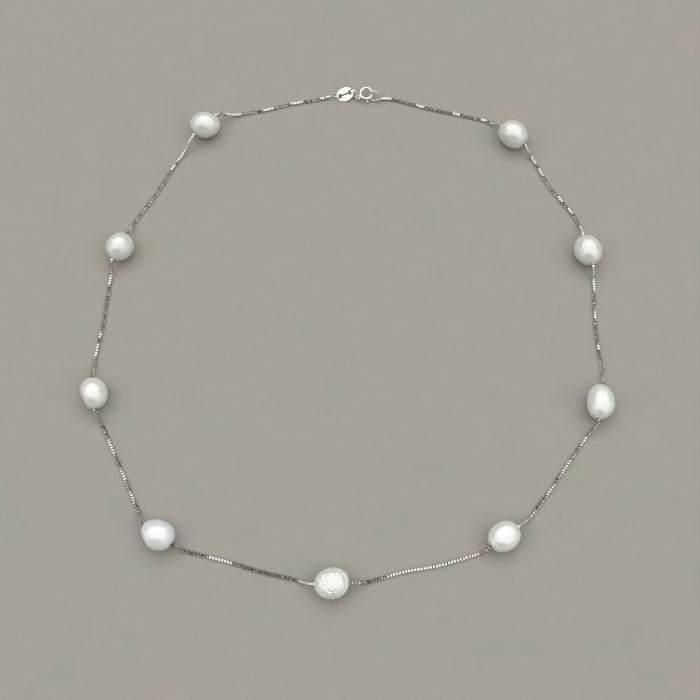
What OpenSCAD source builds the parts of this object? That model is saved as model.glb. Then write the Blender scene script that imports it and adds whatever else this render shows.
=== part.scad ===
// Pearl choker: nine drilled freshwater pearls spaced along a fine silver box chain,
// closed by a spring ring clasp with an oval tag, lying in a loose ring on a flat surface.
// Millimetres. The surface is z = 0, up is +Z, and the clasp lies towards +Y.
// The chain is followed from the tag, down the left side, round the front and back to the clasp.

/* [Chain] */
// Width across the box chain
chain_d = 0.8; // [0.6:0.1:0.9]
// Diameter of the hole drilled through each pearl
bore_d = 1.2; // [1.1:0.1:1.4]
// Diameter of the soldered tube on each end of the chain
end_tube_d = 0.95; // [0.9:0.05:1.1]
// Length of the soldered tube on each end of the chain
end_tube_l = 1.05; // [0.8:0.05:1.2]

/* [Pearls] */
// Facets round a pearl
pearl_sides = 16; // [12:2:16]
// Facets from one end of a pearl to the other
pearl_steps = 14; // [10:2:14]

/* [Clasp] */
// Diameter through the middle of the spring ring's tube
clasp_d = 3.42; // [3.4:0.02:3.46]
// Outer diameter of the spring ring's tube
tube_d = 0.78; // [0.76:0.02:0.8]
// Wall of the spring ring's tube
tube_wall = 0.11; // [0.1:0.01:0.12]
// Play of the sliding bolt inside the tube, on each side
bolt_play = 0.05; // [0.04:0.01:0.06]
// Diameter of the thumb knob
knob_d = 0.62; // [0.5:0.02:0.66]
// Angle through which the knob opens the clasp
clasp_travel = 42; // [38:1:42]

/* [Rings and tag] */
// Wire of the catch ring that the clasp closes on
catch_wire = 0.5; // [0.44:0.02:0.5]
// Wire of the jump ring between the tag and the clasp
clasp_ring_wire = 0.4; // [0.34:0.02:0.44]
// Wire of the small jump ring between the tag and the chain
small_wire = 0.28; // [0.24:0.02:0.3]
// Thickness of the oval tag
tag_t = 0.26; // [0.22:0.02:0.28]
// Length of the oval tag
tag_l = 5.2; // [5:0.1:5.4]
// Width of the oval tag
tag_w = 4.2; // [4.1:0.02:4.3]

/* [Hidden] */
$fn = 48;

nacre = [0.93, 0.92, 0.88];
silver = [0.80, 0.80, 0.79];

// Small vector helpers
function unit(v) = v / norm(v);
function heading(a, slope = 0) = unit([cos(a), sin(a), slope]);
function off_axis(v, axis) = unit(v - (v * axis) * axis);
function turned(a, u, v) = cos(a) * u + sin(a) * v;

// The spring ring lies tipped towards the front, on the rings that it holds
clasp_at = [4.8, 72.6, 1.75];
clasp_tip = 13;
clasp_r = clasp_d / 2;
clasp_u = [1, 0, 0];
clasp_v = [0, cos(clasp_tip), sin(clasp_tip)];
clasp_n = [0, -sin(clasp_tip), cos(clasp_tip)];
// A point of the spring ring's plane at an angle and a radius
function on_clasp(a, r) = clasp_at + r * turned(a, clasp_u, clasp_v);

// Angles round the spring ring, anticlockwise seen from above
gate_from = -30;
gate_to = 10;
knob_a = -83;
eyelet_a = 205;
bolt_tip = 13;
bolt_tail = -95;
hollow_from = bolt_tail - clasp_travel - 4;
pocket_to = bolt_tip + 4;
eyelet_d = 1.2;
eyelet_wire = 0.34;
neck_d = 0.26;
slot_w = 0.36;
knob_r = clasp_r + tube_d / 2 + knob_d / 2 + 0.3;
bore_in_tube = tube_d - 2 * tube_wall;
bolt_d = bore_in_tube - 2 * bolt_play;
eyelet_r = clasp_r + tube_d / 2 + eyelet_d / 2;

module arc_rod(r, d, from, to) {
    rotate([0, 0, from])
        rotate_extrude(angle = to - from)
            translate([r, 0]) circle(d = d, $fn = 32);
}

module on_clasp_plane() {
    translate(clasp_at) rotate([clasp_tip, 0, 0]) children();
}

// The outward sector in which the knob's neck slides
module neck_slot() {
    rotate([0, 0, knob_a - clasp_travel])
        rotate_extrude(angle = clasp_travel)
            translate([clasp_r, -slot_w / 2]) square([tube_d, slot_w]);
    for (a = [knob_a - clasp_travel, knob_a])
        rotate([0, 0, a]) rotate([0, 90, 0])
            translate([0, 0, clasp_r]) cylinder(d = slot_w, h = tube_d, $fn = 24);
}

module spring_ring() {
    color(silver) on_clasp_plane() {
        difference() {
            union() {
                arc_rod(clasp_r, tube_d, gate_to, 360 + gate_from);
                translate(eyelet_r * [cos(eyelet_a), sin(eyelet_a), 0])
                    arc_rod(eyelet_d / 2, eyelet_wire, 0, 360);
            }
            arc_rod(clasp_r, bore_in_tube, hollow_from, pocket_to);
            neck_slot();
        }
    }
}

module clasp_trigger() {
    color(silver) on_clasp_plane() {
        arc_rod(clasp_r, bolt_d, bolt_tail, bolt_tip);
        rotate([0, 0, knob_a]) rotate([0, 90, 0]) {
            translate([0, 0, clasp_r]) cylinder(d = neck_d, h = knob_r - clasp_r, $fn = 24);
            translate([0, 0, knob_r]) sphere(d = knob_d, $fn = 32);
        }
    }
}

// A closed ring of round wire about any axis
module wire_ring(at, axis, d, wire) {
    translate(at)
        rotate([0, acos(axis[2]), atan2(axis[1], axis[0])])
            rotate_extrude() translate([d / 2, 0]) circle(d = wire, $fn = 32);
}

// The catch ring goes through the closed gate and leans on the spring ring
catch_d = 2.9;
catch_a = -20;
catch_tip = 47;
catch_off = 2.47;
catch_u = turned(catch_a, clasp_u, clasp_v);
catch_v = turned(catch_tip, cross(clasp_n, catch_u), clasp_n);
catch_at = clasp_at + catch_off * catch_u;
// A point of the catch ring's wire
function on_catch(a) = catch_at + catch_d / 2 * turned(a, catch_u, catch_v);

module catch_ring() {
    color(silver) wire_ring(catch_at, cross(catch_u, catch_v), catch_d, catch_wire);
}

// The oval tag: a bare plate with a hole at each end, each cut out to the rim,
// and a groove from hole to hole
tag_at = [-1.5, 72.8, 0.92];
tag_turn = 16;
tag_roll = -14;
tag_pitch = 12.5;
tag_yaw_u = [cos(tag_turn), sin(tag_turn), 0];
tag_yaw_v = [-sin(tag_turn), cos(tag_turn), 0];
tag_u = turned(-tag_roll, tag_yaw_u, [0, 0, 1]);
tag_flat_n = turned(-tag_roll, [0, 0, 1], -tag_yaw_u);
tag_v = turned(tag_pitch, tag_yaw_v, tag_flat_n);
tag_n = cross(tag_u, tag_v);
// The outline is four arcs, two round the ends and two along the sides
tag_end_r = 1.65;
tag_end_x = tag_l / 2 - tag_end_r;
tag_side_r = (pow(tag_end_x, 2) + pow(tag_w / 2, 2) - pow(tag_end_r, 2)) / (tag_w - 2 * tag_end_r);
tag_side_y = tag_side_r - tag_w / 2;
tag_join_x = tag_end_x * tag_side_r / (tag_side_r - tag_end_r);
// The holes are long across the tag
tag_hole_x = 1.55;
tag_hole_w = 1.0;
tag_hole_l = 1.6;
tag_gap_w = 0.26;
tag_gap_a = 28;
tag_groove_deep = 0.16;
// A point in the tag's own directions: along it, across it and off its face
function on_tag(u, v, w) = tag_at + u * tag_u + v * tag_v + w * tag_n;

module tag_outline() {
    for (side = [-1, 1]) translate([side * tag_end_x, 0]) circle(r = tag_end_r);
    intersection() {
        translate([0, tag_side_y]) circle(r = tag_side_r);
        translate([0, -tag_side_y]) circle(r = tag_side_r);
        square([2 * tag_join_x, tag_w], center = true);
    }
}

module tag_hole() {
    straight = tag_hole_l - tag_hole_w;
    translate([tag_hole_x, 0]) {
        for (side = [-1, 1]) translate([0, side * straight / 2]) circle(d = tag_hole_w);
        square([tag_hole_w, straight], center = true);
        translate([0, straight / 2]) rotate([0, 0, tag_gap_a])
            translate([0, -tag_gap_w / 2]) square([tag_l / 2, tag_gap_w]);
    }
}

module oval_tag() {
    color(silver)
        translate(tag_at)
            rotate([0, 0, tag_turn]) rotate([0, tag_roll, 0]) rotate([tag_pitch, 0, 0])
                difference() {
                    linear_extrude(tag_t, center = true) tag_outline();
                    linear_extrude(2 * tag_t, center = true)
                        for (half = [0, 180]) rotate([0, 0, half]) tag_hole();
                    translate([-tag_hole_x, -tag_gap_w / 2, tag_t / 2 - tag_groove_deep])
                        cube([2 * tag_hole_x, tag_gap_w, tag_t]);
                }
}

// The clasp's jump ring goes through the tag's right hole and the spring ring's eyelet
clasp_ring_d = 3.0;
clasp_ring_lean = 6;
tag_side = on_tag(tag_hole_x + 0.07, 0, 0);
eyelet_side = on_clasp(eyelet_a, eyelet_r + 0.1);
chord = eyelet_side - tag_side;
clasp_ring_u = unit(chord);
clasp_ring_v = off_axis([0, sin(clasp_ring_lean), cos(clasp_ring_lean)], clasp_ring_u);
clasp_ring_at = (tag_side + eyelet_side) / 2
    + sqrt(pow(clasp_ring_d / 2, 2) - pow(norm(chord) / 2, 2)) * clasp_ring_v;

module clasp_jump_ring() {
    color(silver)
        wire_ring(clasp_ring_at, cross(clasp_ring_u, clasp_ring_v), clasp_ring_d, clasp_ring_wire);
}

// The small jump ring goes through the tag's left hole and the chain's left end
small_d = 2;
small_turn = 16.2;
small_tip = -15.3;
small_roll = 19.2;
small_yaw_u = [cos(small_turn), sin(small_turn), 0];
small_yaw_v = [-sin(small_turn), cos(small_turn), 0];
small_v = turned(small_tip, small_yaw_v, [0, 0, 1]);
small_flat_n = cross(small_yaw_u, small_v);
small_u = turned(-small_roll, small_yaw_u, small_flat_n);
small_in_tag = on_tag(-1.69, 0.5, -0.23);
small_at = small_in_tag - small_d / 2 * small_u;

module small_jump_ring() {
    color(silver) wire_ring(small_at, cross(small_u, small_v), small_d, small_wire);
}

// A chain end: a small loop, a neck and a short tube, soldered together
loop_d = 1.04;
loop_wire = 0.28;
end_neck_d = 0.5;
end_neck_l = 0.6;
end_gap = 0.2;

module chain_end(at, axis, loop_axis) {
    color(silver) {
        wire_ring(at, loop_axis, loop_d, loop_wire);
        translate(at) rotate([0, acos(axis[2]), atan2(axis[1], axis[0])])
            translate([0, 0, loop_d / 2]) {
                cylinder(d = end_neck_d, h = end_neck_l);
                translate([0, 0, end_neck_l]) cylinder(d = end_tube_d, h = end_tube_l);
            }
    }
}

// Each loop hangs a little off the middle of the ring's wire that it holds
left_axis = heading(198, -0.2);
left_drop = [0, 0, -0.1];
left_off = small_d / 2 + 0.2;
left_loop_at = small_at - left_off * small_u + left_drop;
left_loop_axis = off_axis(small_v, left_axis);
right_axis = heading(12, -0.2);
right_a = -20;
right_off = 0.04;
right_loop_at = on_catch(right_a) + right_off * turned(right_a, catch_u, catch_v);
right_loop_axis = off_axis(turned(right_a + 90, catch_u, catch_v), right_axis);
chain_reach = loop_d / 2 + end_neck_l + end_tube_l + end_gap;
chain_start = left_loop_at + chain_reach * left_axis;
chain_finish = right_loop_at + chain_reach * right_axis;

module chain_end_left() {
    chain_end(left_loop_at, left_axis, left_loop_axis);
}

module chain_end_right() {
    chain_end(right_loop_at, right_axis, right_loop_axis);
}

// Pearls in the order of the chain.
// Columns: x, y, heading of the hole, heading of the long axis,
// length, width, height, fullness of the ends (1 is an egg, less is a barrel)
PEARLS = [
    [-42.4,  59.9, 229,   0, 8.7, 7.7, 7.5, 1.00],
    [-63.6,  19.9, 246,  66, 8.2, 7.6, 7.5, 1.00],
    [-66.6, -23.2, 281, 101, 8.6, 7.5, 7.4, 1.00],
    [-47.3, -60.2, 327, 340, 8.5, 7.5, 7.2, 0.95],
    [ -4.4, -71.8,   2,  15, 8.7, 7.5, 6.8, 0.92],
    [ 37.9, -60.5,  35,  35, 8.5, 7.3, 6.8, 0.92],
    [ 64.9, -25.7,  78,  85, 9.4, 7.2, 7.1, 0.85],
    [ 65.6,  18.8, 101, 103, 8.9, 7.6, 7.5, 1.00],
    [ 47.2,  56.5, 132, 140, 8.8, 8.0, 7.7, 0.95]
];
X = 0;
Y = 1;
BORE_HEADING = 2;
BODY_HEADING = 3;
LENGTH = 4;
WIDTH = 5;
HEIGHT = 6;
FULLNESS = 7;

// Swellings (above zero) and flats (below zero) on the pearls.
// Columns: pearl (the first is 0), heading seen from above, elevation, amount in mm,
// spread in degrees
LUMPS = [
    [0,   0,  10,  0.25, 30], [0, 215, -10, -0.25, 35],
    [1, 140,  10, -0.20, 35],
    [2, 215,   5, -0.60, 38], [2,  20,   0, -0.10, 30],
    [3, 200,   0, -0.70, 26], [3, 140,   5,  0.25, 30], [3,  25,  10,  0.20, 35],
    [4,  90,  80, -0.45, 42], [4, 300,   0,  0.15, 30],
    [5,  90,  80, -0.40, 42],
    [6, 290,   0, -0.30, 25], [6, 100,   0,  0.15, 35],
    [7, 300,   0,  0.15, 40], [7,  60,   0, -0.20, 35],
    [8, 225,   0, -0.70, 40], [8,  10,   0,  0.15, 35]
];

// A pearl's surface: an ellipsoid with blunter or sharper ends, plus its lumps.
// along runs from one end (0) to the other (180), around goes round the long axis.
function lump_reach(i, d) = [for (l = LUMPS) if (l[0] == i)
    l[3] * exp(-pow(acos(min(1, max(-1, d * heading_at(l[1], l[2])))) / l[4], 2))];
function heading_at(a, e) = [cos(e) * cos(a), cos(e) * sin(a), sin(e)];
function total(v, n = 0) = n >= len(v) ? 0 : v[n] + total(v, n + 1);
function to_world(a, v) = [v[0] * cos(a) - v[1] * sin(a), v[0] * sin(a) + v[1] * cos(a), v[2]];
function pearl_point(i, along, around) =
    let(p = PEARLS[i])
    let(girth = pow(sin(along), p[FULLNESS]))
    let(local = [-cos(along) * p[LENGTH] / 2, girth * cos(around) * p[WIDTH] / 2,
        girth * sin(around) * p[HEIGHT] / 2])
    let(out = to_world(p[BODY_HEADING], local))
    out + unit(out) * total(lump_reach(i, unit(out)));
function pearl_rings(i) = [for (s = [1 : pearl_steps - 1], k = [0 : pearl_sides - 1])
    pearl_point(i, 180 * s / pearl_steps, 360 * k / pearl_sides)];
// Height of the hole above the surface, so that the pearl just rests on it
function bore_z(i) = -min([for (p = pearl_rings(i)) p[2]]);
// Distance from the middle of a pearl to the mouth of its hole
function bore_reach(i) =
    let(p = PEARLS[i], a = p[BORE_HEADING] - p[BODY_HEADING])
    1 / sqrt(pow(cos(a) * 2 / p[LENGTH], 2) + pow(sin(a) * 2 / p[WIDTH], 2));

module pearl_body(i) {
    rings = pearl_rings(i);
    last = len(rings);
    points = concat(rings, [pearl_point(i, 0, 0)], [pearl_point(i, 180, 0)]);
    start_fan = [for (k = [0 : pearl_sides - 1]) [last, k, (k + 1) % pearl_sides]];
    end_fan = [for (k = [0 : pearl_sides - 1])
        [last + 1, last - pearl_sides + (k + 1) % pearl_sides, last - pearl_sides + k]];
    bands = [for (s = [0 : pearl_steps - 3], k = [0 : pearl_sides - 1], half = [0, 1])
        let(a = s * pearl_sides + k, b = s * pearl_sides + (k + 1) % pearl_sides)
        half == 0 ? [a, a + pearl_sides, b] : [b, a + pearl_sides, b + pearl_sides]];
    polyhedron(points = points, faces = concat(start_fan, bands, end_fan), convexity = 4);
}

module pearl(i) {
    color(nacre)
        translate([PEARLS[i][X], PEARLS[i][Y], bore_z(i)])
            difference() {
                pearl_body(i);
                rotate([0, 90, PEARLS[i][BORE_HEADING]])
                    cylinder(d = bore_d, h = 2 * PEARLS[i][LENGTH], center = true);
            }
}

// Points of the chain where it lies on the surface, one row for each stretch between pearls
RUNS = [
    [[-11, 71], [-18, 69.5], [-25, 67.5], [-32, 66]],
    [[-49.5, 50.5], [-52, 45.8], [-55.5, 38.5], [-61, 29]],
    [[-66, 12], [-66.5, 4], [-67, -4], [-68, -13]],
    [[-64.2, -31], [-60.5, -38.5], [-57, -45.5], [-53.6, -52.5]],
    [[-40, -63.7], [-30.5, -66], [-22.2, -68.5], [-13, -70.6]],
    [[4.5, -71], [13.5, -68.5], [22, -67], [31.5, -64.2]],
    [[45.5, -54.5], [51.5, -47], [55.5, -41.5], [61, -34.2]],
    [[67, -16], [66.5, -8], [66.5, 1], [67.1, 10.5]],
    [[64.3, 29.6], [60.3, 36.3], [57, 41.5], [53.2, 50]],
    [[41, 63.2], [31.5, 66], [23.5, 68], [14, 71]]
];

// The chain: up from the surface to each pearl, straight through its hole and down again
chain_z = chain_d / 2;
mouth_gap = 0.2;
function mouth(i, side) =
    let(reach = side * (bore_reach(i) + mouth_gap), a = PEARLS[i][BORE_HEADING])
    [PEARLS[i][X] + reach * cos(a), PEARLS[i][Y] + reach * sin(a), bore_z(i)];
function on_floor(p) = [p[0], p[1], chain_z];
knots = concat([chain_start],
    [for (r = [0 : len(RUNS) - 1]) each concat(
        [for (p = RUNS[r]) on_floor(p)],
        r < len(PEARLS) ? [mouth(r, -1), mouth(r, 1)] : [])],
    [chain_finish]);
last_knot = len(knots) - 1;
function climbs(k) = abs(knots[k + 1][2] - knots[k][2]) > 0.01;
function lies_in_pearl(k) = k >= 0 && k < last_knot && !climbs(k) && knots[k][2] > 2 * chain_d;
// The level direction of the chain at a knot, which is the hole's own at a pearl's mouth
function knot_flow(k) =
    let(from = max(lies_in_pearl(k) ? k : k - 1, 0))
    let(to = min(lies_in_pearl(k - 1) ? k : k + 1, last_knot))
    let(d = (knots[to] - knots[from]) / (to - from)) [d[0], d[1], 0];
function flow_in(k, span) = let(f = knot_flow(k)) f * min(1, span / norm(f));
function hermite(p0, f0, p1, f1, t) =
    (2 * pow(t, 3) - 3 * pow(t, 2) + 1) * p0 + (pow(t, 3) - 2 * pow(t, 2) + t) * f0
    + (3 * pow(t, 2) - 2 * pow(t, 3)) * p1 + (pow(t, 3) - pow(t, 2)) * f1;
function between(k, t) =
    let(span = norm(knots[k + 1] - knots[k]))
    lies_in_pearl(k) ? knots[k] + t * (knots[k + 1] - knots[k])
    : hermite(knots[k], flow_in(k, span), knots[k + 1], flow_in(k + 1, span), t);
route = concat(
    [for (k = [0 : last_knot - 1]) each climbs(k) ? [knots[k], between(k, 0.5)] : [knots[k]]],
    [knots[last_knot]]);

// A tube of eight sides through a list of points that runs level or nearly so
module swept_tube(path, d, sides) {
    last = len(path) - 1;
    rings = [for (k = [0 : last])
        let(flow = unit(path[min(k + 1, last)] - path[max(k - 1, 0)]))
        let(side = unit(cross([0, 0, 1], flow)), up = cross(flow, side))
        for (s = [0 : sides - 1])
            path[k] + d / 2 * turned(360 * (s + 0.5) / sides, side, up) / cos(180 / sides)];
    bands = [for (k = [0 : last - 1], s = [0 : sides - 1], half = [0, 1])
        let(a = k * sides + s, b = k * sides + (s + 1) % sides)
        half == 0 ? [a, a + sides, b] : [b, a + sides, b + sides]];
    start_cap = [for (s = [0 : sides - 1]) s];
    end_cap = [for (s = [sides - 1 : -1 : 0]) last * sides + s];
    polyhedron(points = rings, faces = concat([start_cap], bands, [end_cap]), convexity = 6);
}

module box_chain() {
    color(silver) swept_tube(route, chain_d, 8);
}

pearl(0);  // pearl_1
pearl(1);  // pearl_2
pearl(2);  // pearl_3
pearl(3);  // pearl_4
pearl(4);  // pearl_5
pearl(5);  // pearl_6
pearl(6);  // pearl_7
pearl(7);  // pearl_8
pearl(8);  // pearl_9
box_chain();
chain_end_left();
chain_end_right();
small_jump_ring();
oval_tag();
clasp_jump_ring();
catch_ring();
spring_ring();
clasp_trigger();
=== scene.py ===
import math
import bpy
from mathutils import Euler, Matrix, Vector, noise


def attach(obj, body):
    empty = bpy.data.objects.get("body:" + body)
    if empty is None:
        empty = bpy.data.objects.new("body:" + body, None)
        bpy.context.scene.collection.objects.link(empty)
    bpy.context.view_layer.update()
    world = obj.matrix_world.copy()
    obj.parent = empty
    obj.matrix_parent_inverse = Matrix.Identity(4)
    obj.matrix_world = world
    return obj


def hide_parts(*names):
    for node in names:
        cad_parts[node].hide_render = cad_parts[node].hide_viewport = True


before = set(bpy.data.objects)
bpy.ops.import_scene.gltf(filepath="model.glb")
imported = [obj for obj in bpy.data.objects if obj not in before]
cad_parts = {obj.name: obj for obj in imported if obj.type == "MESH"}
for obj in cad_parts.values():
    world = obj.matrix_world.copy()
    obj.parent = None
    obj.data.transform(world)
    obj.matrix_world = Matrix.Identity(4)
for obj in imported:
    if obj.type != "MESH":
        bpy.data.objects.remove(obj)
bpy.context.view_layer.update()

mm = 0.001
mainBody = "necklace"
squareOn = 0.9                 # a face whose normal goes this far along an axis is square to it
nothing = 1e-7                 # what is smaller than this counts as none


# General helpers

def limited(share):
    return min(1, max(0, share))


def headingVector(degrees, elevation=0.0):
    a, e = math.radians(degrees), math.radians(elevation)
    return Vector((math.cos(e) * math.cos(a), math.cos(e) * math.sin(a), math.sin(e)))


def aimed(axis):
    return Vector(axis).to_track_quat("Z", "Y").to_euler()


def selectOnly(obj):
    bpy.ops.object.select_all(action="DESELECT")
    obj.select_set(True)
    bpy.context.view_layer.objects.active = obj


def applyPlace(obj):
    selectOnly(obj)
    bpy.ops.object.transform_apply(location=True, rotation=True, scale=True)


def applyModifiers(obj):
    selectOnly(obj)
    for modifier in list(obj.modifiers):
        bpy.ops.object.modifier_apply(modifier=modifier.name)


def joinPieces(pieces):
    selectOnly(pieces[0])
    for piece in pieces[1:]:
        piece.select_set(True)
    bpy.ops.object.join()
    return bpy.context.object


def editParts(obj, kind, wanted):
    # goes into edit mode with only the wanted faces or edges selected
    bpy.ops.object.mode_set(mode="EDIT")
    bpy.ops.mesh.select_mode(type=kind)
    bpy.ops.mesh.select_all(action="DESELECT")
    bpy.ops.object.mode_set(mode="OBJECT")
    for part in obj.data.polygons if kind == "FACE" else obj.data.edges:
        part.select = wanted(part)
    bpy.ops.object.mode_set(mode="EDIT")


def leaveFacingOut():
    # turns every face outwards and leaves edit mode
    bpy.ops.mesh.select_all(action="SELECT")
    bpy.ops.mesh.normals_make_consistent(inside=False)
    bpy.ops.object.mode_set(mode="OBJECT")


def cutAway(obj, cutter):
    cut = obj.modifiers.new("cut", "BOOLEAN")
    cut.operation = "DIFFERENCE"
    cut.solver = "EXACT"
    cut.material_mode = "TRANSFER"
    cut.object = cutter
    applyModifiers(obj)
    bpy.data.objects.remove(cutter)


def softenEdges(obj, width, segments, sharperThan=50):
    edge = obj.modifiers.new("softEdges", "BEVEL")
    edge.width = width * mm
    edge.segments = segments
    edge.limit_method = "ANGLE"
    edge.angle_limit = math.radians(sharperThan)
    applyModifiers(obj)


def hexColour(code):
    parts = [int(code[i:i + 2], 16) / 255 for i in (1, 3, 5)]
    linear = [c / 12.92 if c <= 0.04045 else ((c + 0.055) / 1.055) ** 2.4 for c in parts]
    return (*linear, 1.0)


def addNode(tree, kind, settings=None, inputs=None, links=None):
    node = tree.nodes.new(kind)
    for name, value in (settings or {}).items():
        setattr(node, name, value)
    for name, value in (inputs or {}).items():
        node.inputs[name].default_value = value
    for name, source in (links or {}).items():
        tree.links.new(source, node.inputs[name])
    return node


def startMaterial(name):
    material = bpy.data.materials.new(name)
    material.use_nodes = True
    material.node_tree.nodes.clear()
    return material, material.node_tree


def finishMaterial(tree, shader):
    addNode(tree, "ShaderNodeOutputMaterial", links={"Surface": shader.outputs["BSDF"]})


def perMillimetre(size):
    return 1 / (size * mm)     # a noise scale that gives features of that size


# Nacre: layered aragonite, grown and not polished, so a soft deep lustre with broad highlights
# over a milky body; the pearls differ a little in body colour and gloss, in three kinds

nacreFacts = {
    "cloud": 3.0, "cloudDetail": 3.0,          # mm, the tint's soft clouds
    "ripple": 1.1, "rippleDepth": 0.05,        # mm
    "skin": 0.22, "skinDepth": 0.006,          # mm
    "detail": 2.0,                             # of the ripple and the skin
    "coolAt": 0.36, "warmAt": 0.5, "roseAt": 0.66,     # places of the tints in the clouds
    "ior": 1.68,                               # aragonite
    "glow": 0.5, "glowDepth": 1.5,             # share of the light that shines from inside; mm
    "glowTint": (1.0, 0.9, 0.8),
}

nacreKinds = {
    "lustrous": {"name": "FreshwaterNacreLustrous", "warm": "#dadbd4", "cool": "#d1d8d4",
                 "rose": "#dad6d3", "roughness": 0.08, "coatRoughness": 0.02},
    "milky": {"name": "FreshwaterNacreMilky", "warm": "#dfe1db", "cool": "#d6deda",
              "rose": "#dfdbd9", "roughness": 0.14, "coatRoughness": 0.03},
    "bluish": {"name": "FreshwaterNacreBluish", "warm": "#e1e6e4", "cool": "#dae3e4",
               "rose": "#e0e2e5", "roughness": 0.30, "coatRoughness": 0.14},
}


def pearlNacre(own):
    facts = nacreFacts
    material, tree = startMaterial(own["name"])
    place = addNode(tree, "ShaderNodeTexCoord")
    cloud = addNode(tree, "ShaderNodeTexNoise",
                    inputs={"Scale": perMillimetre(facts["cloud"]), "Detail": facts["cloudDetail"]},
                    links={"Vector": place.outputs["Object"]})
    tint = addNode(tree, "ShaderNodeValToRGB", links={"Fac": cloud.outputs["Fac"]})
    ramp = tint.color_ramp.elements
    ramp[0].position = facts["coolAt"]
    ramp[0].color = hexColour(own["cool"])
    ramp[1].position = facts["roseAt"]
    ramp[1].color = hexColour(own["rose"])
    middle = ramp.new(facts["warmAt"])
    middle.color = hexColour(own["warm"])
    ripple = addNode(tree, "ShaderNodeTexNoise",
                     inputs={"Scale": perMillimetre(facts["ripple"]), "Detail": facts["detail"]},
                     links={"Vector": place.outputs["Object"]})
    skin = addNode(tree, "ShaderNodeTexNoise",
                   inputs={"Scale": perMillimetre(facts["skin"]), "Detail": facts["detail"]},
                   links={"Vector": place.outputs["Object"]})
    broad = addNode(tree, "ShaderNodeBump",
                    inputs={"Strength": 1.0, "Distance": facts["rippleDepth"] * mm},
                    links={"Height": ripple.outputs["Fac"]})
    fine = addNode(tree, "ShaderNodeBump",
                   inputs={"Strength": 1.0, "Distance": facts["skinDepth"] * mm},
                   links={"Height": skin.outputs["Fac"], "Normal": broad.outputs["Normal"]})
    shader = addNode(tree, "ShaderNodeBsdfPrincipled",
                     inputs={"Roughness": own["roughness"], "IOR": facts["ior"],
                             "Specular IOR Level": 1.0, "Subsurface Weight": facts["glow"],
                             "Subsurface Radius": facts["glowTint"],
                             "Subsurface Scale": facts["glowDepth"] * mm,
                             "Coat Weight": 1.0, "Coat Roughness": own["coatRoughness"],
                             "Coat IOR": facts["ior"]},
                     links={"Base Color": tint.outputs["Color"], "Normal": fine.outputs["Normal"]})
    finishMaterial(tree, shader)
    return material


# Sterling silver: drawn, soldered and tumbled, so bright with small soft unevenness; the cut edges of
# the links are rougher and coloured darker as painted shade, and the links' inner sides and the tag's
# groove are coloured near-black as painted shade

silverKinds = {
    "clasp": {"name": "TumbledSterlingSilver", "colour": "#e6e4de", "roughness": 0.26,
              "grain": 0.5, "dents": 0.004},           # mm, the same below
    "chain": {"name": "DrawnSterlingSilver", "colour": "#e9e7e1", "roughness": 0.14,
              "grain": 0.3, "dents": 0.003},
    # edge: silver coloured darker as painted shade, and rougher, for the links' cut edges
    "edge": {"name": "CutEdgePaintedShadeSilver", "colour": "#8f8c85", "roughness": 0.35,
             "grain": 0.2, "dents": 0.004},
    # dark: a near-black silver colour, painted shade, for the links' inner sides and the tag's groove
    "dark": {"name": "InnerPaintedShadeSilver", "colour": "#45423b", "roughness": 0.5,
             "grain": 0.2, "dents": 0.004},
}
silverSpread = {"smoothest": 0.75, "roughest": 1.3}    # shares of the roughness, from spot to spot


def sterlingSilver(own):
    material, tree = startMaterial(own["name"])
    place = addNode(tree, "ShaderNodeTexCoord")
    wear = addNode(tree, "ShaderNodeTexNoise",
                   inputs={"Scale": perMillimetre(own["grain"]), "Detail": 2.0},
                   links={"Vector": place.outputs["Object"]})
    gloss = addNode(tree, "ShaderNodeMapRange",
                    inputs={"To Min": own["roughness"] * silverSpread["smoothest"],
                            "To Max": own["roughness"] * silverSpread["roughest"]},
                    links={"Value": wear.outputs["Fac"]})
    dents = addNode(tree, "ShaderNodeBump",
                    inputs={"Strength": 1.0, "Distance": own["dents"] * mm},
                    links={"Height": wear.outputs["Fac"]})
    shader = addNode(tree, "ShaderNodeBsdfPrincipled",
                     inputs={"Base Color": hexColour(own["colour"]), "Metallic": 1.0},
                     links={"Roughness": gloss.outputs["Result"], "Normal": dents.outputs["Normal"]})
    finishMaterial(tree, shader)
    return material


nacres = {kind: pearlNacre(own) for kind, own in nacreKinds.items()}
silvers = {kind: sterlingSilver(own) for kind, own in silverKinds.items()}
print("materials ready")


# Pearls: each starts as a ball, takes its own egg or barrel form with its lumps and flats,
# and is drilled

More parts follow.
